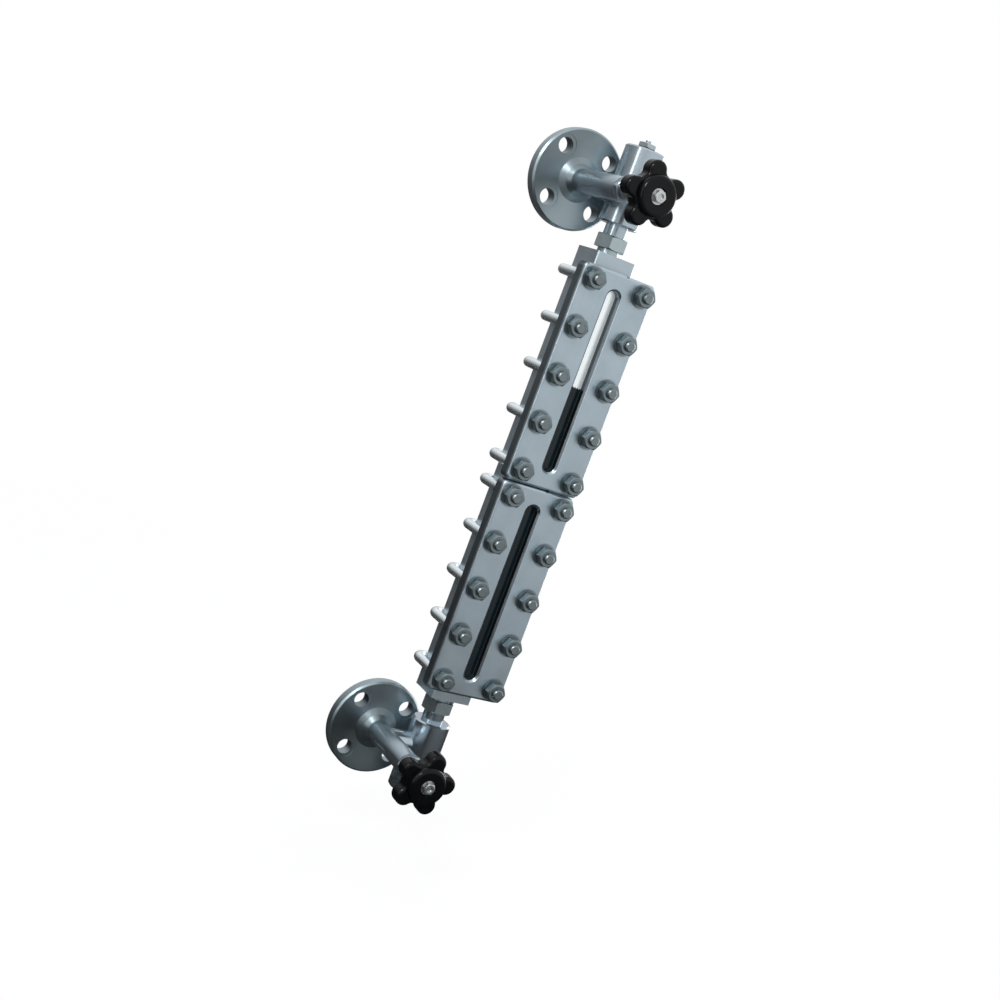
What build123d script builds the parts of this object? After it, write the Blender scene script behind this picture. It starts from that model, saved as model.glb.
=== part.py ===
from build123d import *

import math
import os

os.makedirs("parts", exist_ok=True)

# All sizes are in millimetres. X runs right seen from the front, Y back towards the tank, Z up.
# The origin is the centre of the lower flange's sealing face.
# "Ahead" is a distance in front of the sealing faces, so along -Y.

# Flanges, 15 mm bore
flange_centres = 560.0
flange_radius = 47.5
flange_thickness = 14.0
flange_edge = 1.8
raised_face_radius = 25.5
raised_face_height = 1.0
bolt_circle = 70.0
bolt_holes = 4
bolt_hole_radius = 7.5
spot_face_radius = 11.0
spot_face_depth = 0.4
port_radius = 8.0
hub_root = 5.8
hub_wall = 3.9
hub_fillet = 3.4
hub_length = 8.0

# Gauge: square chamber bar with two covers, one above the other
gauge_x = 43.0
valve_rise = 55.0
chamber_margin = 13.0
chamber_side = 42.0
chamber_edge = 1.0
chamber_bore_radius = 7.0
channel_width = 13.0
cover_side_margin = 12.0
cover_joint = 0.8
cover_thickness = 13.5
cover_corner = 5.0
cover_edge = 2.5
cover_gap = 5.5
slot_width = 13.0
slot_margin = 17.0
slot_bevel = 2.0
cover_ledge = 7.5

# Glass and its seals
glass_width = 30.0
glass_land = 6.0
glass_thickness = 17.0
glass_play = 0.5
cushion_thickness = 1.0
glass_gasket_thickness = 1.5
prism_pitch = 2.5
prism_count = 5

# U-bolts with their nuts and washers
rod_radius = 5.0
rod_end_edge = 1.0
rod_end = 3.5
rod_play = 0.6
rod_gap = 2.0
bend_radius = 10.0
bend_play = 0.2
bolts_per_cover = 5
bolt_margin = 13.0
nut_flats = 17.0
nut_height = 8.5
thread_play = 0.03
washer_radius = 10.5
washer_thickness = 2.0

# Unions between the chamber and the valves
union_wall = 2.0
union_height = 13.0
union_lip = 3.5
union_step = 2.2
union_from_chamber = 4.5
tailpiece_wall = 3.3
tailpiece_thread = 14.0
union_gasket_thickness = 1.5
collar_thickness = 3.5
collar_play = 0.5
spigot_wall = 3.6
spigot_length = 10.5

# Valve bodies
neck_wall = 2.0
neck_end = 100.0
arm_radius = 10.5
arm_bore_radius = 5.0
barrel_radius = 19.3
barrel_behind = 3.7
barrel_outer = 47.0
barrel_edge = 1.5
seat_bore_radius = 4.5
seat_thickness = 4.0
seat_shoulder = 2.0
plug_shoulder = 0.5
plug_height = 4.5
plug_step = 0.5
plug_thread = 11.0
plug_gasket_thickness = 1.5
vent_screw_radius = 2.8
vent_screw_height = 2.5

# Bonnets, stems and handwheels
running = 0.05
stem_radius = 5.0
stem_pin_radius = 3.0
disc_radius = 6.5
disc_clearance = 1.5
disc_length = 8.0
seat_gap = 0.1
open_lift = 11.0
pin_length = 5.0
pin_play = 0.3
bonnet_step = 1.3
bonnet_thread = 12.0
bonnet_shoulder = 1.2
bonnet_hex = 6.0
bonnet_neck = 7.0
gland_wall = 1.3
packing_width = 2.0
packing_length = 7.0
packing_floor = 2.0
follower_length = 4.0
gland_nut_wall = 1.2
gland_gap = 1.5
gland_cap = 3.5
stem_showing = 7.5
wheel_back_hub = 5.0
wheel_back_radius = 12.0
wheel_rim = 15.0
wheel_rim_edge = 3.4
wheel_boss = 6.0
wheel_boss_radius = 18.5
wheel_boss_edge = 4.0
wheel_core_radius = 20.5
lobe_count = 5
lobe_radius = 9.0
lobe_centre = 21.4
lobe_valley = 5.0
wheel_washer_play = 0.7
wheel_recess = 3.5
square_side = 7.0
square_play = 0.05
wheel_washer_radius = 6.9
wheel_washer_thickness = 1.5
stem_thread_radius = 3.0
wheel_nut_flats = 10.0
wheel_nut_height = 4.5
thread_recess = 1.5

# Hexagons: angle of the turned chamfer, and how far it reaches inside the flats
hexagon_chamfer = 30.0
hexagon_step = 0.5
# Edges this close to a plane count as lying in it
same_plane = 0.01

# Worked out from the sizes above, outwards from each bore
cavity_radius = disc_radius + disc_clearance
bonnet_thread_radius = cavity_radius + bonnet_step
bonnet_flats = 2 * (bonnet_thread_radius + bonnet_shoulder)
neck_radius = bonnet_thread_radius + neck_wall
hub_radius = neck_radius + hub_wall
hub_root_radius = hub_radius + hub_root
packing_radius = stem_radius + packing_width
gland_thread_radius = packing_radius + gland_wall
gland_flats = 2 * (gland_thread_radius + gland_nut_wall)
wheel_recess_radius = wheel_washer_radius + wheel_washer_play
tailpiece_radius = chamber_bore_radius + tailpiece_wall
union_thread_radius = tailpiece_radius + union_step
union_flats = 2 * (union_thread_radius + union_wall)
spigot_radius = chamber_bore_radius + spigot_wall
plug_thread_radius = chamber_bore_radius + plug_step
plug_flats = 2 * (plug_thread_radius + plug_shoulder)
rod_hole_radius = rod_radius + rod_play
rod_spacing = chamber_side + 2 * (rod_gap + rod_radius)
chamber_back_edge = bend_radius - rod_radius - rod_gap + bend_play
cover_width = rod_spacing + 2 * cover_side_margin

# Heights, from the distance between the flanges
chamber_length = flange_centres - 2 * valve_rise
cover_pitch_length = chamber_length / 2 - chamber_margin
bolt_pitch = (cover_pitch_length - 2 * bolt_margin) / (bolts_per_cover - 1)

# Distances ahead of the sealing faces
gauge_ahead = flange_thickness + barrel_behind + barrel_radius
middle_z = flange_centres / 2
chamber_front = gauge_ahead + chamber_side / 2
chamber_back = gauge_ahead - chamber_side / 2
chamber_end = chamber_length / 2
cover_back = chamber_front + cover_gap
cover_front = cover_back + cover_thickness
cover_length = cover_pitch_length - cover_joint
slot_length = cover_pitch_length - 2 * slot_margin
glass_length = slot_length + 2 * glass_land
glass_front = cover_front - cover_ledge - cushion_thickness
glass_back = glass_front - glass_thickness
seal_floor = glass_back - glass_gasket_thickness
weld_ahead = flange_thickness + hub_length
seat_ahead = weld_ahead + seat_shoulder
seat_face = seat_ahead + seat_thickness
bonnet_front = neck_end + bonnet_hex + bonnet_neck
packing_ahead = neck_end + packing_floor
follower_ahead = packing_ahead + packing_length
follower_end = follower_ahead + follower_length
gland_back = neck_end + bonnet_hex + gland_gap
gland_front = follower_end + gland_cap
wheel_closed = gland_front + stem_showing
cover_zs = {"upper": middle_z + cover_pitch_length / 2, "lower": middle_z - cover_pitch_length / 2}
bolt_rows = [(i - (bolts_per_cover - 1) / 2) * bolt_pitch for i in range(bolts_per_cover)]
bolt_zs = [z + row for z in cover_zs.values() for row in bolt_rows]
bolt_xs = (gauge_x - rod_spacing / 2, gauge_x + rod_spacing / 2)


def facing(ahead, z, x=gauge_x):
    """Plane at a distance ahead, facing the front, with its y upwards."""
    return Plane(origin=(x, -ahead, z), x_dir=(1, 0, 0), z_dir=(0, -1, 0))


def neck_section(z):
    """Section plane of a valve neck: x is the radius, y the distance ahead."""
    return Plane(origin=(0, 0, z), x_dir=(1, 0, 0), z_dir=(0, 0, -1))


def barrel_section(z, outward):
    """Section plane of the gauge's upright axis: x is the radius, y runs away from the gauge's middle."""
    return Plane(origin=(gauge_x, -gauge_ahead, z), x_dir=(1, 0, 0), z_dir=(0, -outward, 0))


def turn(profile, plane, mode=Mode.ADD):
    """Revolves a closed profile of (radius, distance) points about the section plane's y axis."""
    with BuildSketch(plane, mode=Mode.PRIVATE) as outline:
        Polygon(*profile, align=None)
    revolve(outline.sketch, axis=Axis(plane.origin, plane.y_dir), mode=mode)


def ring(inner, outer, start, end):
    """Profile of a plain ring."""
    return [(inner, start), (outer, start), (outer, end), (inner, end)]


def rod(radius, start, end):
    """Profile of a plain cylinder."""
    return [(0, start), (radius, start), (radius, end), (0, end)]


def hexagon(flats, start, end, plane):
    """Hexagonal prism with both ends turned to a chamfer."""
    corner = flats / math.sqrt(3)
    flat = flats / 2 - hexagon_step
    slope = (corner - flat) * math.tan(math.radians(hexagon_chamfer))
    base = Plane(origin=plane.origin + plane.y_dir * start, x_dir=plane.x_dir, z_dir=plane.y_dir)
    with BuildSketch(base, mode=Mode.PRIVATE) as outline:
        RegularPolygon(flats / 2, 6, major_radius=False)
    extrude(outline.sketch, amount=end - start)
    turn(
        [(0, start), (flat, start), (corner, start + slope), (corner, end - slope), (flat, end), (0, end)],
        plane,
        Mode.INTERSECT,
    )


def long_slot(length, width, plane, amount, mode=Mode.ADD):
    """Upright slot with round ends, as a solid or as a cut."""
    with BuildSketch(plane, mode=Mode.PRIVATE) as outline:
        SlotOverall(length, width, rotation=90)
    extrude(outline.sketch, amount=amount, mode=mode)


# Liquid chamber: one bar, with a glass seat, a channel and the through bore
with BuildPart() as chamber:
    with Locations((gauge_x, -gauge_ahead, middle_z)):
        Box(chamber_side, chamber_side, chamber_length)
    back_edges = chamber.faces().sort_by(Axis.Y)[-1].edges().filter_by(Axis.Z)
    chamfer(back_edges, length=chamber_back_edge)
    chamfer(chamber.faces().sort_by(Axis.Y)[0].edges().filter_by(Axis.Z), length=chamber_edge)
    seat_width = glass_width + 2 * glass_play
    for z in cover_zs.values():
        long_slot(
            glass_length + 2 * glass_play,
            seat_width,
            facing(seal_floor, z),
            chamber_front - seal_floor,
            Mode.SUBTRACT,
        )
        long_slot(
            slot_length, channel_width, facing(gauge_ahead, z), seal_floor - gauge_ahead, Mode.SUBTRACT
        )
    middle = barrel_section(middle_z, 1)
    turn(rod(chamber_bore_radius, -chamber_end, chamber_end), middle, Mode.SUBTRACT)
    for outward in (1, -1):
        end_section = barrel_section(middle_z, outward)
        turn(
            rod(tailpiece_radius, chamber_end - tailpiece_thread, chamber_end),
            end_section,
            Mode.SUBTRACT,
        )
chamber.part.label = "chamber"
export_step(chamber.part, "parts/chamber.step")

# Covers, glasses and seals
for section, z in cover_zs.items():
    with BuildPart() as cover:
        with BuildSketch(facing(cover_back, z)):
            RectangleRounded(cover_width, cover_length, cover_corner)
        extrude(amount=cover_thickness)
        fillet(cover.faces().sort_by(Axis.Y)[0].edges(), radius=cover_edge)
        with BuildSketch(facing(cover_back, z)):
            with Locations(*[(side * rod_spacing / 2, row) for side in (-1, 1) for row in bolt_rows]):
                Circle(rod_hole_radius)
        extrude(amount=cover_thickness, mode=Mode.SUBTRACT)
        long_slot(
            glass_length + 2 * glass_play,
            glass_width + 2 * glass_play,
            facing(cover_back, z),
            cover_thickness - cover_ledge,
            Mode.SUBTRACT,
        )
        long_slot(slot_length, slot_width, facing(cover_back, z), cover_thickness, Mode.SUBTRACT)
        slot_rim = cover.edges().filter_by_position(Axis.Y, -cover_front - same_plane, -cover_front + same_plane)
        slot_rim = slot_rim.filter_by(lambda e: abs(e.center().X - gauge_x) < slot_width)
        chamfer(slot_rim.filter_by(lambda e: e.length > rod_hole_radius), length=slot_bevel)
    cover.part.label = section + "_cover"
    export_step(cover.part, "parts/" + section + "_cover.step")

    with BuildPart() as glass:
        long_slot(glass_length, glass_width, facing(glass_back, z), glass_thickness)
        with BuildSketch(Plane.XY.offset(z - slot_length / 2)):
            with Locations((gauge_x, -glass_back)):
                for i in range(prism_count):
                    left = (i - prism_count / 2) * prism_pitch
                    Polygon(
                        (left, 0),
                        (left + prism_pitch, 0),
                        (left + prism_pitch / 2, -prism_pitch / 2),
                        align=None,
                    )
        extrude(amount=slot_length, mode=Mode.SUBTRACT)
    glass.part.label = section + "_glass"
    export_step(glass.part, "parts/" + section + "_glass.step")

    with BuildPart() as cushion:
        long_slot(glass_length, glass_width, facing(glass_front, z), cushion_thickness)
        long_slot(slot_length, slot_width, facing(glass_front, z), cushion_thickness, Mode.SUBTRACT)
    cushion.part.label = section + "_glass_cushion"
    export_step(cushion.part, "parts/" + section + "_glass_cushion.step")

    with BuildPart() as glass_gasket:
        long_slot(glass_length, glass_width, facing(seal_floor, z), glass_gasket_thickness)
        long_slot(slot_length, channel_width, facing(seal_floor, z), glass_gasket_thickness, Mode.SUBTRACT)
    glass_gasket.part.label = section + "_glass_gasket"
    export_step(glass_gasket.part, "parts/" + section + "_glass_gasket.step")

# U-bolts: each goes round the back of the chamber and through the cover
bar_ahead = chamber_back - rod_radius
rod_front = cover_front + washer_thickness + nut_height + rod_end
with BuildPart() as u_bolt:
    with BuildLine() as rod_path:
        FilletPolyline(
            (bolt_xs[0], -rod_front),
            (bolt_xs[0], -bar_ahead),
            (bolt_xs[1], -bar_ahead),
            (bolt_xs[1], -rod_front),
            radius=bend_radius,
        )
    with BuildSketch(Plane(origin=rod_path.line @ 0, z_dir=rod_path.line % 0)):
        Circle(rod_radius)
    sweep(path=rod_path.line)
    chamfer(u_bolt.faces().sort_by(Axis.Y)[:2].edges(), length=rod_end_edge)
with BuildPart() as u_bolts:
    with Locations(*[(0, 0, z) for z in bolt_zs]):
        add(u_bolt.part)
u_bolts.part.label = "u_bolts"
export_step(u_bolts.part, "parts/u_bolts.step")

with BuildPart() as cover_washers:
    for z in bolt_zs:
        for x in bolt_xs:
            with BuildSketch(facing(cover_front, z, x)):
                Circle(washer_radius)
                Circle(rod_radius, mode=Mode.SUBTRACT)
    extrude(amount=washer_thickness)
cover_washers.part.label = "cover_washers"
export_step(cover_washers.part, "parts/cover_washers.step")

with BuildPart() as cover_nut:
    nut_section = neck_section(0)
    hexagon(nut_flats, cover_front + washer_thickness, rod_front - rod_end, nut_section)
    turn(rod(rod_radius + thread_play, cover_front, rod_front), nut_section, Mode.SUBTRACT)
with BuildPart() as cover_nuts:
    with Locations(*[(x, 0, z) for x in bolt_xs for z in bolt_zs]):
        add(cover_nut.part)
cover_nuts.part.label = "cover_nuts"
export_step(cover_nuts.part, "parts/cover_nuts.step")

# The two ends: a flange, an angle valve and a union each, the lower one turned upside down
# At rest the upper valve is open and the lower one is shut
ends = {"upper": (flange_centres, 1, open_lift, 33.0), "lower": (0.0, -1, 0.0, 6.0)}
for end, (flange_z, outward, lift, lobe_turn) in ends.items():
    neck = neck_section(flange_z)
    barrel = barrel_section(flange_z, outward)
    disc_face = seat_face + seat_gap + lift
    disc_back = disc_face + disc_length
    pin_ahead = disc_back - pin_length
    wheel_ahead = wheel_closed + lift
    rim_ahead = wheel_ahead + wheel_back_hub
    wheel_face = rim_ahead + wheel_rim + wheel_boss
    recess_floor = wheel_face - wheel_recess
    wheel_nut_ahead = recess_floor + wheel_washer_thickness
    stem_end = wheel_nut_ahead + wheel_nut_height - thread_recess
    # Distances along the barrel from the flange's level, negative towards the gauge
    chamber_top = chamber_end - middle_z
    union_start = chamber_top + union_from_chamber
    lip_end = union_start + union_lip
    union_end = union_start + union_height
    gasket_start = lip_end + collar_thickness
    spigot_start = gasket_start + union_gasket_thickness
    barrel_inner = union_end + spigot_length
    plug_seat = barrel_outer + plug_gasket_thickness

    with BuildPart() as flange:
        turn(
            [
                (port_radius, 0),
                (raised_face_radius, 0),
                (raised_face_radius, raised_face_height),
                (flange_radius - flange_edge, raised_face_height),
                (flange_radius, raised_face_height + flange_edge),
                (flange_radius, flange_thickness - flange_edge),
                (flange_radius - flange_edge, flange_thickness),
                (hub_root_radius, flange_thickness),
                (hub_radius, flange_thickness + hub_fillet),
                (neck_radius, weld_ahead),
                (port_radius, weld_ahead),
            ],
            neck,
        )
        with BuildSketch(facing(0, flange_z, 0)):
            with PolarLocations(bolt_circle / 2, bolt_holes, start_angle=180 / bolt_holes):
                Circle(bolt_hole_radius)
        extrude(amount=flange_thickness, mode=Mode.SUBTRACT)
        with BuildSketch(facing(flange_thickness - spot_face_depth, flange_z, 0)):
            with PolarLocations(bolt_circle / 2, bolt_holes, start_angle=180 / bolt_holes):
                Circle(spot_face_radius)
        extrude(amount=spot_face_depth, mode=Mode.SUBTRACT)
    flange.part.label = end + "_flange"
    export_step(flange.part, "parts/" + end + "_flange.step")

    with BuildPart() as valve_body:
        turn(rod(neck_radius, weld_ahead, neck_end), neck)
        arm_plane = Plane(origin=(0, -gauge_ahead, flange_z), x_dir=(0, 1, 0), z_dir=(1, 0, 0))
        with BuildSketch(arm_plane):
            Circle(arm_radius)
        extrude(amount=gauge_x)
        turn(
            [
                (0, spigot_start),
                (union_thread_radius, spigot_start),
                (union_thread_radius, union_end),
                (spigot_radius, union_end),
                (spigot_radius, barrel_inner),
                (barrel_radius - barrel_edge, barrel_inner),
                (barrel_radius, barrel_inner + barrel_edge),
                (barrel_radius, barrel_outer - barrel_edge),
                (barrel_radius - barrel_edge, barrel_outer),
                (0, barrel_outer),
            ],
            barrel,
        )
        turn(rod(chamber_bore_radius, spigot_start, barrel_outer), barrel, Mode.SUBTRACT)
        turn(
            rod(plug_thread_radius, barrel_outer - plug_thread, barrel_outer), barrel, Mode.SUBTRACT
        )
        with BuildSketch(arm_plane):
            Circle(arm_bore_radius)
        extrude(amount=gauge_x, mode=Mode.SUBTRACT)
        turn(
            [
                (0, weld_ahead),
                (seat_bore_radius, weld_ahead),
                (seat_bore_radius, seat_ahead),
                (cavity_radius, seat_ahead),
                (cavity_radius, neck_end - bonnet_thread),
                (bonnet_thread_radius, neck_end - bonnet_thread),
                (bonnet_thread_radius, neck_end),
                (0, neck_end),
            ],
            neck,
            Mode.SUBTRACT,
        )
    valve_body.part.label = end + "_valve_body"
    export_step(valve_body.part, "parts/" + end + "_valve_body.step")

    with BuildPart() as seat_ring:
        turn(ring(seat_bore_radius, cavity_radius, seat_ahead, seat_face), neck)
    seat_ring.part.label = end + "_seat_ring"
    export_step(seat_ring.part, "parts/" + end + "_seat_ring.step")

    with BuildPart() as valve_disc:
        turn(rod(disc_radius, disc_face, disc_back), neck)
        turn(
            rod(stem_pin_radius + running, pin_ahead - pin_play, disc_back), neck, Mode.SUBTRACT
        )
    valve_disc.part.label = end + "_valve_disc"
    export_step(valve_disc.part, "parts/" + end + "_valve_disc.step")

    with BuildPart() as stem:
        turn(rod(stem_pin_radius, pin_ahead, disc_back + pin_play), neck)
        turn(rod(stem_radius, disc_back + pin_play, wheel_ahead), neck)
        with BuildSketch(facing(wheel_ahead, flange_z, 0)):
            Rectangle(square_side, square_side)
        extrude(amount=recess_floor - wheel_ahead)
        turn(rod(stem_thread_radius, recess_floor, stem_end), neck)
    stem.part.label = end + "_stem"
    export_step(stem.part, "parts/" + end + "_stem.step")

    with BuildPart() as bonnet:
        hexagon(bonnet_flats, neck_end, neck_end + bonnet_hex, neck)
        turn(rod(bonnet_thread_radius, neck_end - bonnet_thread, neck_end), neck)
        turn(rod(gland_thread_radius, neck_end + bonnet_hex, bonnet_front), neck)
        turn(
            rod(stem_radius + running, neck_end - bonnet_thread, packing_ahead), neck, Mode.SUBTRACT
        )
        turn(rod(packing_radius, packing_ahead, bonnet_front), neck, Mode.SUBTRACT)
    bonnet.part.label = end + "_bonnet"
    export_step(bonnet.part, "parts/" + end + "_bonnet.step")

    with BuildPart() as packing:
        turn(ring(stem_radius + running, packing_radius, packing_ahead, follower_ahead), neck)
    packing.part.label = end + "_packing"
    export_step(packing.part, "parts/" + end + "_packing.step")

    with BuildPart() as gland_follower:
        turn(ring(stem_radius + running, packing_radius, follower_ahead, follower_end), neck)
    gland_follower.part.label = end + "_gland_follower"
    export_step(gland_follower.part, "parts/" + end + "_gland_follower.step")

    with BuildPart() as gland_nut:
        hexagon(gland_flats, gland_back, gland_front, neck)
        turn(rod(gland_thread_radius, gland_back, follower_end), neck, Mode.SUBTRACT)
        turn(rod(stem_radius + running, follower_end, gland_front), neck, Mode.SUBTRACT)
    gland_nut.part.label = end + "_gland_nut"
    export_step(gland_nut.part, "parts/" + end + "_gland_nut.step")

    with BuildPart() as handwheel:
        with BuildSketch(facing(rim_ahead, flange_z, 0)) as star:
            Circle(wheel_core_radius)
            with PolarLocations(lobe_centre, lobe_count, start_angle=lobe_turn):
                Circle(lobe_radius)
            fillet(star.vertices(), radius=lobe_valley)
        extrude(amount=wheel_rim)
        rim_faces = handwheel.faces().filter_by(Axis.Y).sort_by(Axis.Y)
        fillet(rim_faces[0].edges() + rim_faces[-1].edges(), radius=wheel_rim_edge)
        turn(rod(wheel_back_radius, wheel_ahead, rim_ahead + wheel_rim_edge), neck)
        with BuildSketch(facing(rim_ahead + wheel_rim_edge, flange_z, 0)):
            Circle(wheel_boss_radius)
        extrude(amount=wheel_face - rim_ahead - wheel_rim_edge)
        fillet(handwheel.faces().sort_by(Axis.Y)[0].edges(), radius=wheel_boss_edge)
        turn(rod(wheel_recess_radius, recess_floor, wheel_face), neck, Mode.SUBTRACT)
        with BuildSketch(facing(wheel_ahead, flange_z, 0)):
            Rectangle(square_side + 2 * square_play, square_side + 2 * square_play)
        extrude(amount=recess_floor - wheel_ahead, mode=Mode.SUBTRACT)
    handwheel.part.label = end + "_handwheel"
    export_step(handwheel.part, "parts/" + end + "_handwheel.step")

    with BuildPart() as wheel_washer:
        turn(ring(stem_thread_radius, wheel_washer_radius, recess_floor, wheel_nut_ahead), neck)
    wheel_washer.part.label = end + "_handwheel_washer"
    export_step(wheel_washer.part, "parts/" + end + "_handwheel_washer.step")

    with BuildPart() as wheel_nut:
        hexagon(wheel_nut_flats, wheel_nut_ahead, wheel_nut_ahead + wheel_nut_height, neck)
        turn(rod(stem_thread_radius, wheel_nut_ahead, wheel_face + wheel_boss), neck, Mode.SUBTRACT)
    wheel_nut.part.label = end + "_handwheel_nut"
    export_step(wheel_nut.part, "parts/" + end + "_handwheel_nut.step")

    with BuildPart() as tailpiece:
        turn(ring(chamber_bore_radius, tailpiece_radius, chamber_top - tailpiece_thread, lip_end), barrel)
        turn(
            ring(chamber_bore_radius, union_thread_radius - collar_play, lip_end, gasket_start), barrel
        )
    tailpiece.part.label = end + "_tailpiece"
    export_step(tailpiece.part, "parts/" + end + "_tailpiece.step")

    with BuildPart() as union_gasket:
        turn(
            ring(chamber_bore_radius, union_thread_radius - collar_play, gasket_start, spigot_start),
            barrel,
        )
    union_gasket.part.label = end + "_union_gasket"
    export_step(union_gasket.part, "parts/" + end + "_union_gasket.step")

    with BuildPart() as union_nut:
        hexagon(union_flats, union_start, union_end, barrel)
        turn(rod(tailpiece_radius, union_start, lip_end), barrel, Mode.SUBTRACT)
        turn(rod(union_thread_radius, lip_end, union_end), barrel, Mode.SUBTRACT)
    union_nut.part.label = end + "_union_nut"
    export_step(union_nut.part, "parts/" + end + "_union_nut.step")

    plug_name = "vent" if outward > 0 else "drain"
    with BuildPart() as plug:
        hexagon(plug_flats, plug_seat, plug_seat + plug_height, barrel)
        turn(rod(plug_thread_radius, barrel_outer - plug_thread, plug_seat), barrel)
        turn(
            rod(vent_screw_radius, plug_seat + plug_height, plug_seat + plug_height + vent_screw_height),
            barrel,
        )
    plug.part.label = plug_name + "_plug"
    export_step(plug.part, "parts/" + plug_name + "_plug.step")

    with BuildPart() as plug_gasket:
        turn(ring(plug_thread_radius, plug_flats / 2, barrel_outer, plug_seat), barrel)
    plug_gasket.part.label = plug_name + "_plug_gasket"
    export_step(plug_gasket.part, "parts/" + plug_name + "_plug_gasket.step")
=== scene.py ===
import math

import bpy
from mathutils import Matrix, Vector


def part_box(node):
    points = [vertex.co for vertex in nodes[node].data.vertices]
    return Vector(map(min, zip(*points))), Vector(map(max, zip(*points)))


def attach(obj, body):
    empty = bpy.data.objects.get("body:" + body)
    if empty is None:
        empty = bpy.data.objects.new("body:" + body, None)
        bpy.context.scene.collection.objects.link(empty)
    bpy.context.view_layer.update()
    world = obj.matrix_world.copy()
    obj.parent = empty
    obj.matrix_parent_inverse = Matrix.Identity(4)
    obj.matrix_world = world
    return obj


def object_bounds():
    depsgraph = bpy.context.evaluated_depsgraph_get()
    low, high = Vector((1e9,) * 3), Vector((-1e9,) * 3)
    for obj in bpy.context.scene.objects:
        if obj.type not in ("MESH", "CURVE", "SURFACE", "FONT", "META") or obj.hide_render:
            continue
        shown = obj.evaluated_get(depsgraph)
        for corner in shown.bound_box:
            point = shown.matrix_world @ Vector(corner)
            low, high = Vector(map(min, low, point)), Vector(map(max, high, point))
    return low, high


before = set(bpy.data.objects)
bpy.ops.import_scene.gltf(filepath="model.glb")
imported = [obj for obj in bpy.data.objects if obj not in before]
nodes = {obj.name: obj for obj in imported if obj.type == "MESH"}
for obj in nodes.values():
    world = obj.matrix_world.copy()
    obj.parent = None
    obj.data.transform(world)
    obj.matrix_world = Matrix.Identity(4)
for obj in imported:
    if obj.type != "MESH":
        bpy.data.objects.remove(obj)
cad_box = [list(corner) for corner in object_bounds()]
ENDS = ("upper", "lower")


# ---------- Measures taken from the frame, in metres ----------

def low(node):
    return Vector(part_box(node)[0])


def high(node):
    return Vector(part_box(node)[1])


def middle(node):
    return (low(node) + high(node)) / 2


flange_z = {end: middle(end + "_flange").z for end in ENDS}
gauge_axis = middle("chamber").xy
section_joint = (high("lower_cover").z + low("upper_cover").z) / 2
cover_face = low("upper_cover").y
liquid_share = 0.47
liquid_level = low("upper_cover").z + (high("upper_cover").z - low("upper_cover").z) * liquid_share

flange_edge = 0.0016
flange_face_radius = (high("upper_flange").x - low("upper_flange").x) / 2 - flange_edge
neck_margin = 0.001
neck_side = (high("upper_bonnet").x - low("upper_bonnet").x) / 2 + neck_margin
barrel_side = 2 * gauge_axis.x - high("upper_valve_body").x
rod_radius = 0.005
washer_radius = 0.0105
gland_thread_radius = 0.0083
gland_gap = 0.0015
cover_rows = 5
slot_bevel_start = 0.0062
slot_bevel_end = 0.0089
glass_seen_half_width = 0.0078
prism_pitch = 0.0025
rod_spread = (high("u_bolts").x - low("u_bolts").x) / 2 - rod_radius
nut_front = low("cover_nuts").y
nut_back = high("cover_nuts").y
rod_tip = low("u_bolts").y
rod_rows_middle = middle("upper_cover").z - section_joint
rod_rows_half = (high("u_bolts").z - low("u_bolts").z) / 2 - rod_radius - rod_rows_middle
rod_pitch = 2 * rod_rows_half / (cover_rows - 1)
rod_rows = [
    middle(end + "_cover").z + rod_pitch * (row - (cover_rows - 1) / 2)
    for end in ENDS
    for row in range(cover_rows)
]


# ---------- Shader maths written as expressions ----------

class Signal:
    """A value or vector inside one material, with arithmetic."""

    def __init__(self, tree, socket):
        self.tree = tree
        self.socket = socket

    def feed(self, target, value):
        if isinstance(value, Signal):
            self.tree.links.new(value.socket, target)
        else:
            target.default_value = value

    def node(self, kind, output=0, settings=None, **inputs):
        """Any other shader node, with its settings and its inputs by name."""
        made = self.tree.nodes.new(kind)
        for name, value in (settings or {}).items():
            setattr(made, name, value)
        for name, value in inputs.items():
            self.feed(made.inputs[name.replace("_", " ")], value)
        return Signal(self.tree, made.outputs[output])

    def maths(self, operation, *values):
        made = self.tree.nodes.new("ShaderNodeMath")
        made.operation = operation
        for target, value in zip(made.inputs, values):
            self.feed(target, value)
        return Signal(self.tree, made.outputs[0])

    def __add__(self, other):
        return self.maths("ADD", self, other)

    def __radd__(self, other):
        return self.maths("ADD", other, self)

    def __sub__(self, other):
        return self.maths("SUBTRACT", self, other)

    def __rsub__(self, other):
        return self.maths("SUBTRACT", other, self)

    def __mul__(self, other):
        return self.maths("MULTIPLY", self, other)

    def __rmul__(self, other):
        return self.maths("MULTIPLY", other, self)

    def __truediv__(self, other):
        return self.maths("DIVIDE", self, other)

    def above(self, limit, softness):
        """0 well below the limit and 1 well above it."""
        return self.node(
            "ShaderNodeMapRange",
            settings={"interpolation_type": "SMOOTHSTEP"},
            Value=self,
            From_Min=limit - softness,
            From_Max=limit + softness,
        )

    def sine(self):
        return self.maths("SINE", self)

    def size(self):
        return self.maths("ABSOLUTE", self)

    def nearest(self):
        """Distance to the nearest whole number, with its sign."""
        return self - self.maths("ROUND", self)

    def root(self):
        return self.maths("SQRT", self)


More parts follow.
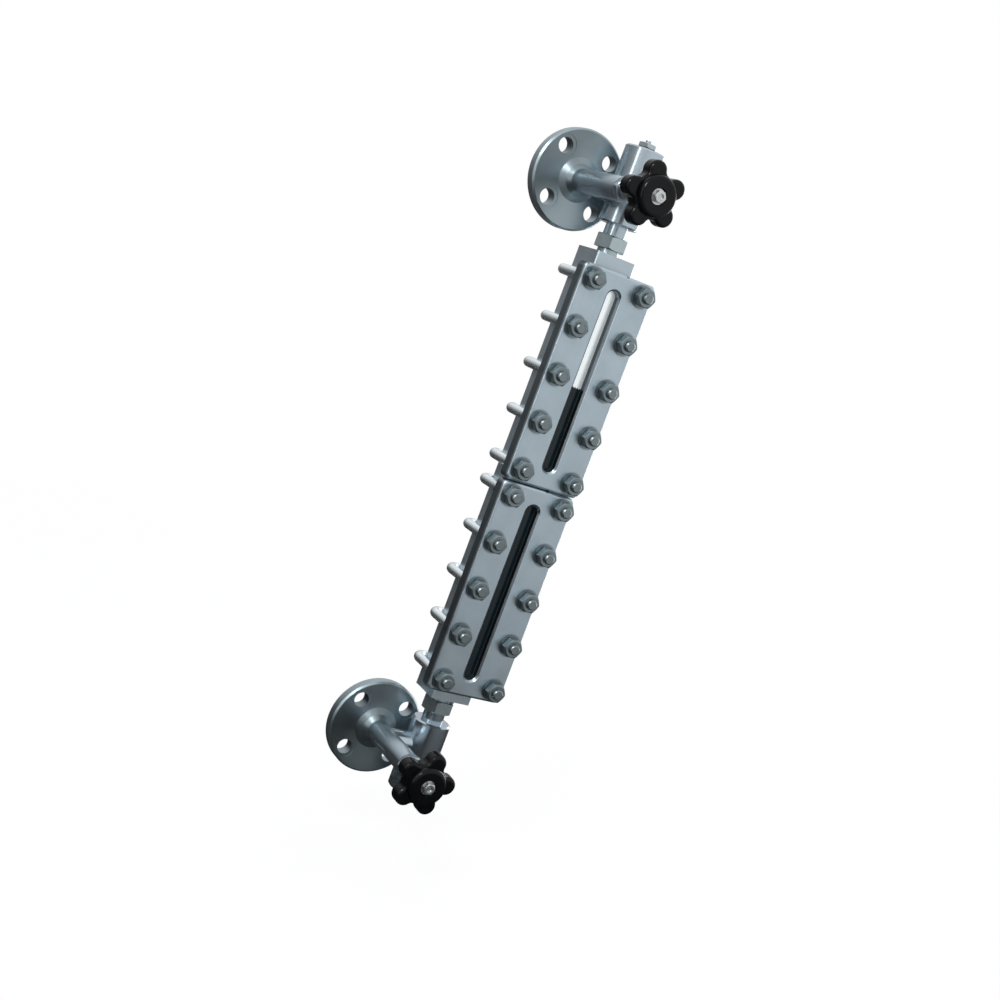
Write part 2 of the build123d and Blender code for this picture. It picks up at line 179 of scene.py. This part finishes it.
class Paint:
    """A new procedural material on one Principled shader.

    Its x, y and z are the piece's own coordinates in metres.
    """

    def __init__(self, name):
        self.material = bpy.data.materials.new(name)
        self.material.use_nodes = True
        self.tree = self.material.node_tree
        self.shader = self.tree.nodes["Principled BSDF"]
        place = self.tree.nodes.new("ShaderNodeTexCoord")
        self.place = Signal(self.tree, place.outputs["Object"])
        split = self.tree.nodes.new("ShaderNodeSeparateXYZ")
        self.tree.links.new(place.outputs["Object"], split.inputs[0])
        self.x, self.y, self.z = (Signal(self.tree, out) for out in split.outputs)

    def noise(self, scale, detail=3.0):
        return self.place.node(
            "ShaderNodeTexNoise", Vector=self.place, Scale=scale, Detail=detail
        )

    def noise_along(self, across, along):
        """Noise drawn out along Z."""
        stretch = self.place.node(
            "ShaderNodeVectorMath",
            settings={"operation": "MULTIPLY"},
            Vector=self.place,
        )
        stretch.socket.node.inputs[1].default_value = (across, across, along)
        return self.place.node("ShaderNodeTexNoise", Vector=stretch, Scale=1.0, Detail=2.0)

    def mix(self, kind, factor, first, second):
        """Two colours, or a colour and a brightness, through a Mix node."""
        made = self.tree.nodes.new("ShaderNodeMix")
        made.data_type = "RGBA"
        made.blend_type = kind
        colour_sockets = [socket for socket in made.inputs if socket.type == "RGBA"]
        self.place.feed(made.inputs[0], factor)
        for target, colour in zip(colour_sockets, (first, second)):
            self.place.feed(target, colour if isinstance(colour, Signal) else (*colour, 1.0))
        return Signal(self.tree, next(out for out in made.outputs if out.type == "RGBA"))

    def shade(self, colour, amount):
        """The colour made lighter or darker by an amount around 1."""
        return self.mix("MULTIPLY", 1.0, colour, amount)

    def blend(self, factor, first, second):
        """First colour where the factor is 0, second where it is 1."""
        return self.mix("MIX", factor, first, second)

    def bump(self, height, strength, distance=0.0002):
        relief = self.place.node(
            "ShaderNodeBump", Height=height, Strength=strength, Distance=distance
        )
        self.set(Normal=relief)

    def set(self, **inputs):
        for name, value in inputs.items():
            self.place.feed(self.shader.inputs[name.replace("_", " ")], value)
        return self


# ---------- Materials ----------

COVER_STEEL = (0.43, 0.515, 0.575)
BAR_STEEL = (0.47, 0.55, 0.60)
BODY_STEEL = (0.42, 0.495, 0.55)
FLANGE_STEEL = (0.33, 0.405, 0.44)
NUT_STEEL = (0.20, 0.245, 0.26)
# Stud thread in front of the nuts: dull, and darker with painted shade.
DULL_SHADED_THREAD = (0.20, 0.235, 0.25)
BONNET_STEEL = (0.40, 0.46, 0.50)
UNION_STEEL = (0.42, 0.50, 0.53)
STEM_STAINLESS = (0.50, 0.54, 0.57)
WASHER_ZINC = (0.56, 0.58, 0.58)
ROD_ZINC = (0.86, 0.94, 0.98)
GAS_SILVER = (0.96, 0.99, 1.0)
LIQUID_BLACK = (0.003, 0.008, 0.011)
GAS_GLOW = (0.14, 0.17, 0.18)
NO_GLOW = (0.0, 0.0, 0.0)
GRAPHITE = (0.05, 0.052, 0.056)
BLACK_PLASTIC = (0.0022, 0.0026, 0.0032)
FLOOR_WHITE = (0.85, 0.86, 0.87, 1.0)
BACKGROUND_WHITE = (1.0, 1.0, 1.0, 1.0)


def satin_steel(name, colour, roughness, grain=1.0, mottle=0.28):
    """Blasted and plated steel: cloudy, with a fine grain."""
    paint = Paint(name)
    clouds = paint.noise(38.0, 4.0)
    grains = paint.noise(1900.0, 2.0)
    paint.set(
        Base_Color=paint.shade(colour, 1.0 - mottle / 2 + mottle * clouds),
        Metallic=0.95,
        Roughness=roughness + 0.10 * (clouds - 0.5) + 0.06 * (grains - 0.5),
    )
    paint.bump(grains + 2.0 * paint.noise(420.0), 0.16 * grain)
    return paint.material


def cover_plate(name, colour, roughness):
    """Steel cover with a ground, faintly streaked front.

    Painted shade lies on its sides, on one bevel of the slot and in a ring round each washer.
    """
    paint = Paint(name)
    clouds = paint.noise(38.0, 5.0)
    grains = paint.noise(1900.0, 2.0)
    streaks = paint.noise_along(700.0, 14.0)
    across = (paint.x - gauge_axis.x).size() - rod_spread
    section = (paint.z - section_joint).size() - rod_rows_middle
    along = (section / rod_pitch).nearest() * rod_pitch
    from_bolt = (across * across + along * along).root()
    ring_edge = washer_radius + 0.0011
    # A ring of painted shade round each washer.
    clear = 0.55 + 0.45 * from_bolt.above(ring_edge, 0.0012)
    # Painted shade on the cover's sides, from a few millimetres behind its front face.
    side_shade_depth = cover_face + 0.0034
    scale = paint.y.above(side_shade_depth, 0.0007)
    # Painted shade on the slot's right-hand bevel.
    right = paint.x - gauge_axis.x
    in_band = right.above(slot_bevel_start, 0.0003) * (1.0 - right.above(slot_bevel_end, 0.0003))
    slot_bevel_shade = in_band * paint.y.above(cover_face + 0.0003, 0.0002)
    worn = 0.80 + 0.34 * clouds + 0.08 * streaks
    tone = clear * (1.0 - 0.62 * scale) * (1.0 - 0.7 * slot_bevel_shade) * worn
    paint.set(
        Base_Color=paint.shade(colour, tone),
        Metallic=0.95,
        Roughness=roughness + 0.12 * (clouds - 0.5) + 0.06 * (streaks - 0.5),
    )
    paint.bump(grains + 2.0 * paint.noise(420.0) + streaks, 0.16)
    return paint.material


def turned_body(name, colour, roughness, groove=0.0012):
    """Valve body: turned rings run round the neck, round the arm and round the upright barrel."""
    paint = Paint(name)
    clouds = paint.noise(45.0, 4.0)
    barrel = paint.x.above(barrel_side, 0.0004)
    arm = paint.x.above(neck_side, 0.0004) * (1.0 - barrel)
    wave = math.tau / groove
    rings = (
        (paint.y * wave).sine() * (1.0 - barrel - arm)
        + (paint.x * wave).sine() * arm
        + (paint.z * wave).sine() * barrel
    )
    paint.set(
        Base_Color=paint.shade(colour, 0.90 + 0.2 * clouds),
        Metallic=0.95,
        Roughness=roughness + 0.10 * (clouds - 0.5),
    )
    paint.bump(rings + 2.0 * paint.noise(1300.0), 0.06, 0.00010)
    return paint.material


def plated_rod(name, bright, dull_shaded_end, nut_face):
    """Zinc plated rod: bright round the bar, dull and with painted shade where its threaded ends
    stand out of the nuts.
    """
    paint = Paint(name)
    clouds = paint.noise(60.0, 4.0)
    # In front of the nuts the threaded ends are dull, and darker with painted shade.
    behind = paint.y.above(nut_face, 0.001)
    paint.set(
        Base_Color=paint.shade(paint.blend(behind, dull_shaded_end, bright), 0.90 + 0.2 * clouds),
        Metallic=0.95,
        Roughness=0.36 - 0.14 * behind + 0.08 * (clouds - 0.5),
    )
    paint.bump(clouds + paint.noise(1400.0), 0.10)
    return paint.material


def turned_steel(name, colour, roughness, groove=0.0011, far_side_shade=0.0):
    """Steel turned about a valve neck's axis: fine rings on its faces and round its sides.

    Painted shade darkens the side of the face away from the gauge.
    """
    paint = Paint(name)
    level = paint.z.above(section_joint, 0.001) * (flange_z["upper"] - flange_z["lower"])
    rise = paint.z - level
    radius = (paint.x * paint.x + rise * rise).root()
    rings = ((radius + paint.y) * (math.tau / groove)).sine()
    clouds = paint.noise(45.0, 4.0)
    # Painted shade on the side of the face away from the gauge.
    far_side_patch = 1.0 - (paint.x - 0.5 * rise + 0.02 * (clouds - 0.5)).above(-0.010, 0.026)
    face = 1.0 - radius.above(flange_face_radius, 0.0003)
    far_side_tone = 1.0 - far_side_shade * far_side_patch * face
    paint.set(
        Base_Color=paint.shade(colour, far_side_tone * (0.86 + 0.26 * clouds + 0.02 * rings)),
        Metallic=0.95,
        Roughness=roughness + 0.12 * (clouds - 0.5),
    )
    paint.bump(rings + 0.8 * paint.noise(1300.0), 0.22, 0.00012)
    return paint.material


def upright_steel(name, colour, roughness, groove=0.0010):
    """Steel turned about the gauge's upright axis."""
    paint = Paint(name)
    rings = (paint.z * (math.tau / groove)).sine()
    clouds = paint.noise(60.0, 4.0)
    paint.set(
        Base_Color=paint.shade(colour, 0.86 + 0.26 * clouds),
        Metallic=0.94,
        Roughness=roughness + 0.10 * (clouds - 0.5),
    )
    paint.bump(rings + paint.noise(1500.0), 0.14, 0.0001)
    return paint.material


def reflex_glass(name, level):
    """Prism glass: silvery where gas is behind it and black where liquid is.

    The silvery part has a faint glow of its own, in place of the light that the prisms return.
    """
    paint = Paint(name)
    across = paint.x - gauge_axis.x
    lines = (across * (math.tau / prism_pitch)).sine()
    # Outside the slot the glass is black and without glow, as painted shade in the gap behind the
    # cover.
    in_slot = 1.0 - across.size().above(glass_seen_half_width, 0.0004)
    gas = paint.z.above(level + 0.0006 * lines, 0.0005) * in_slot
    silver = paint.shade(GAS_SILVER, 0.96 + 0.04 * lines + 0.04 * paint.noise(90.0))
    black = paint.shade(LIQUID_BLACK, 0.8 + 0.4 * lines + paint.noise(120.0))
    paint.set(
        Base_Color=paint.blend(gas, black, silver),
        Metallic=0.8 * gas,
        Emission_Color=paint.blend(gas, NO_GLOW, GAS_GLOW),
        Emission_Strength=1.0,
        Roughness=0.10 + 0.20 * gas,
        Specular_IOR_Level=0.25,
        Coat_Weight=0.15,
        Coat_Roughness=0.04,
    )
    return paint.material


def graphite(name):
    """Dull graphite sheet with flakes."""
    paint = Paint(name)
    flakes = paint.noise(700.0, 4.0)
    paint.set(
        Base_Color=paint.shade(GRAPHITE, 0.6 + 0.8 * flakes),
        Roughness=0.6 + 0.2 * flakes,
    )
    paint.bump(flakes, 0.3)
    return paint.material


def black_moulding(name):
    """Glossy phenolic moulding."""
    paint = Paint(name)
    swirl = paint.noise(70.0, 5.0)
    paint.set(
        Base_Color=paint.shade(BLACK_PLASTIC, 0.7 + 0.6 * swirl),
        Roughness=0.16 + 0.12 * swirl,
        Specular_IOR_Level=0.10,
        Coat_Weight=0.16,
        Coat_Roughness=0.06,
    )
    paint.bump(swirl + 0.3 * paint.noise(900.0), 0.05)
    return paint.material


cover_steel = cover_plate("cover_steel", COVER_STEEL, 0.33)
chamber_steel = satin_steel("chamber_steel", BAR_STEEL, 0.38)
body_steel = turned_body("valve_body_steel", BODY_STEEL, 0.20)
# The flanges get painted shade on the side away from the gauge.
flange_steel = turned_steel("flange_steel", FLANGE_STEEL, 0.31, far_side_shade=0.45)
fastener_steel = satin_steel("nut_steel", NUT_STEEL, 0.30, grain=0.5)
neck_steel = turned_steel("bonnet_steel", BONNET_STEEL, 0.22)
union_steel = upright_steel("union_steel", UNION_STEEL, 0.24)
stainless = turned_steel("stem_stainless", STEM_STAINLESS, 0.20, groove=0.0008)
zinc = satin_steel("washer_zinc", WASHER_ZINC, 0.26, grain=0.5)
rod_zinc = plated_rod("u_bolt_zinc", ROD_ZINC, DULL_SHADED_THREAD, nut_back)
# The stud threads in front of the nuts: dull, with painted shade.
thread_zinc = satin_steel("thread_zinc", DULL_SHADED_THREAD, 0.32, grain=0.4)
seal = graphite("graphite_seal")
moulding = black_moulding("handwheel_moulding")
glass = reflex_glass("reflex_glass", liquid_level)

node_material = {
    "chamber": chamber_steel,
    "u_bolts": rod_zinc,
    "cover_washers": fastener_steel,
    "cover_nuts": fastener_steel,
    "vent_plug": union_steel,
    "drain_plug": union_steel,
    "vent_plug_gasket": seal,
    "drain_plug_gasket": seal,
}
for end in ENDS:
    node_material[end + "_cover"] = cover_steel
    node_material[end + "_glass"] = glass
    node_material[end + "_flange"] = flange_steel
    node_material[end + "_valve_body"] = body_steel
    node_material[end + "_handwheel"] = moulding
    for piece in ("glass_cushion", "glass_gasket", "packing", "union_gasket"):
        node_material[end + "_" + piece] = seal
    for piece in ("seat_ring", "valve_disc", "stem", "gland_follower"):
        node_material[end + "_" + piece] = stainless
    for piece in ("bonnet", "gland_nut"):
        node_material[end + "_" + piece] = neck_steel
    for piece in ("tailpiece", "union_nut"):
        node_material[end + "_" + piece] = union_steel
    for piece in ("handwheel_washer", "handwheel_nut"):
        node_material[end + "_" + piece] = zinc

for name, node in nodes.items():
    node.data.materials.clear()
    node.data.materials.append(node_material[name])


# ---------- Threads, as a raised helix round each plain CAD rod ----------

def thread_mesh(name, rods, pitch, height, material, sink=0.00004):
    """One mesh with a helical ridge on each rod, given as (start, end, radius, axis)."""
    points, faces = [], []
    steps = 24
    fade_steps = 6
    flank = 0.42 * pitch
    for start, end, radius, axis in rods:
        side = axis.orthogonal().normalized()
        other = axis.cross(side)
        length = (end - start).dot(axis)
        count = max(2, int(length / pitch * steps))
        first = len(points)
        for i in range(count + 1):
            angle = math.tau * i / steps
            out = side * math.cos(angle) + other * math.sin(angle)
            along = start + axis * min(pitch * i / steps, length)
            fade = min(1.0, i / fade_steps, (count - i) / fade_steps)
            half = axis * flank * fade
            points.append(along + out * (radius - sink) - half)
            points.append(along + out * (radius + height * fade))
            points.append(along + out * (radius - sink) + half)
        for i in range(count):
            a = first + 3 * i
            faces.append((a, a + 1, a + 4, a + 3))
            faces.append((a + 1, a + 2, a + 5, a + 4))
    mesh = bpy.data.meshes.new(name)
    mesh.from_pydata(points, [], faces)
    mesh.update()
    thread = bpy.data.objects.new(name, mesh)
    bpy.context.collection.objects.link(thread)
    thread.data.materials.append(material)
    return thread


forward = Vector((0, -1, 0))
stud_chamfer = 0.0012
stud_pitch = 0.00175
stud_thread_height = 0.00022
gland_pitch = 0.001
gland_thread_height = 0.00018

stud_rods = []
for z in rod_rows:
    for side in (-1, 1):
        x = gauge_axis.x + side * rod_spread
        start = Vector((x, nut_front, z))
        end = Vector((x, rod_tip + stud_chamfer, z))
        stud_rods.append((start, end, rod_radius, forward))
stud_threads = thread_mesh("stud_threads", stud_rods, stud_pitch, stud_thread_height, thread_zinc)
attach(stud_threads, "gauge")

gland_rods = []
for which in ENDS:
    nut_back_y = high(which + "_gland_nut").y
    start = Vector((0, nut_back_y + gland_gap, flange_z[which]))
    end = Vector((0, nut_back_y, flange_z[which]))
    gland_rods.append((start, end, gland_thread_radius, forward))
gland_threads = thread_mesh(
    "gland_threads", gland_rods, gland_pitch, gland_thread_height, neck_steel
)
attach(gland_threads, "gauge")


# ---------- Studio ----------

object_middle = (Vector(cad_box[0]) + Vector(cad_box[1])) / 2


def room_light(x, y, z):
    """Brightness of the studio in a direction: white above and ahead, dark low down behind."""
    return 0.02 + 0.98 * (0.22 * x - 0.22 * y + 0.95 * z).above(0.0, 0.6)


def split_vector(signal):
    split = signal.tree.nodes.new("ShaderNodeSeparateXYZ")
    signal.tree.links.new(signal.socket, split.inputs[0])
    return [Signal(signal.tree, out) for out in split.outputs]


def light_path(tree):
    rays = tree.nodes.new("ShaderNodeLightPath")
    kinds = ("Camera", "Glossy", "Transmission")
    return {kind: Signal(tree, rays.outputs["Is " + kind + " Ray"]) for kind in kinds}


def studio_world():
    """White for the camera and through glass, and the studio's own light for everything else."""
    world = bpy.data.worlds.new("studio")
    bpy.context.scene.world = world
    world.use_nodes = True
    tree = world.node_tree
    place = tree.nodes.new("ShaderNodeTexCoord")
    room = room_light(*split_vector(Signal(tree, place.outputs["Generated"])))
    rays = light_path(tree)
    seen = rays["Camera"].maths("MAXIMUM", rays["Camera"], rays["Transmission"])
    strength = seen + (1.0 - seen) * room
    background = tree.nodes["Background"]
    background.inputs["Color"].default_value = BACKGROUND_WHITE
    tree.links.new(strength.socket, background.inputs["Strength"])


def white_floor(level, reach):
    """Pale floor that the camera, glass and metal see as the white background.

    Near the object a small share of its own shading shows, which is the faint shadow.
    """
    mesh = bpy.data.meshes.new("floor")
    corners = [
        (-reach, -reach, level),
        (reach, -reach, level),
        (reach, reach, level),
        (-reach, reach, level),
    ]
    mesh.from_pydata(corners, [], [(0, 1, 2, 3)])
    floor = bpy.data.objects.new("floor", mesh)
    bpy.context.collection.objects.link(floor)
    material = bpy.data.materials.new("floor_white")
    material.use_nodes = True
    tree = material.node_tree
    shader = tree.nodes["Principled BSDF"]
    shader.inputs["Base Color"].default_value = FLOOR_WHITE
    shader.inputs["Roughness"].default_value = 0.9
    geometry = tree.nodes.new("ShaderNodeNewGeometry")
    place = Signal(tree, geometry.outputs["Position"])
    x, y, z = split_vector(place)
    x, y, z = x - object_middle.x, y - object_middle.y, z - object_middle.z
    distance = (x * x + y * y + z * z).root()
    room = room_light(x / distance, y / distance, z / distance)
    rays = light_path(tree)
    seen = rays["Camera"].maths("MAXIMUM", rays["Camera"], rays["Transmission"])
    mirrored = seen.maths("MAXIMUM", seen, rays["Glossy"])
    glow = tree.nodes.new("ShaderNodeEmission")
    tree.links.new((seen + (1.0 - seen) * room).socket, glow.inputs["Strength"])
    near = 1.0 - distance.above(1.3, 0.8)
    share = mirrored - 0.1 * rays["Camera"] * near
    mix = tree.nodes.new("ShaderNodeMixShader")
    tree.links.new(share.socket, mix.inputs[0])
    tree.links.new(shader.outputs[0], mix.inputs[1])
    tree.links.new(glow.outputs[0], mix.inputs[2])
    tree.links.new(mix.outputs[0], tree.nodes["Material Output"].inputs["Surface"])
    floor.data.materials.append(material)


def softbox(name, place, width, height, power):
    """Rectangular lamp aimed at the middle of the object."""
    lamp = bpy.data.lights.new(name, "AREA")
    lamp.shape = "RECTANGLE"
    lamp.size = width
    lamp.size_y = height
    lamp.energy = power
    box = bpy.data.objects.new(name, lamp)
    bpy.context.collection.objects.link(box)
    box.visible_camera = False
    box.location = place
    box.rotation_euler = (object_middle - Vector(place)).to_track_quat("-Z", "Y").to_euler()


def main_camera(place, look, up, lens):
    """Camera from its place, its line of sight and the direction that is up in the picture."""
    data = bpy.data.cameras.new("main_camera")
    data.lens = lens
    data.clip_start = 0.05
    camera = bpy.data.objects.new("main_camera", data)
    bpy.context.collection.objects.link(camera)
    back = -Vector(look).normalized()
    right = Vector(up).cross(back).normalized()
    upward = back.cross(right)
    axes = Matrix((right, upward, back)).transposed().to_4x4()
    camera.matrix_world = Matrix.Translation(place) @ axes
    bpy.context.scene.camera = camera


studio_world()
floor_drop = 0.06
white_floor(low("drain_plug").z - floor_drop, reach=6.0)
softbox("key", (-1.3, -1.3, 1.5), width=0.36, height=0.48, power=18.0)
softbox("strip", (-1.4, -0.78, 0.3), width=0.22, height=1.8, power=4.5)
softbox("side", (1.4, 0.72, 0.2), width=0.4, height=1.6, power=9.0)
main_camera(
    place=(-0.6872, -1.2997, 0.4411),
    look=(0.4889, 0.8629, -0.1280),
    up=(-0.2459, 0.2771, 0.9289),
    lens=55.33,
)
bpy.context.scene.view_settings.view_transform = "Standard"
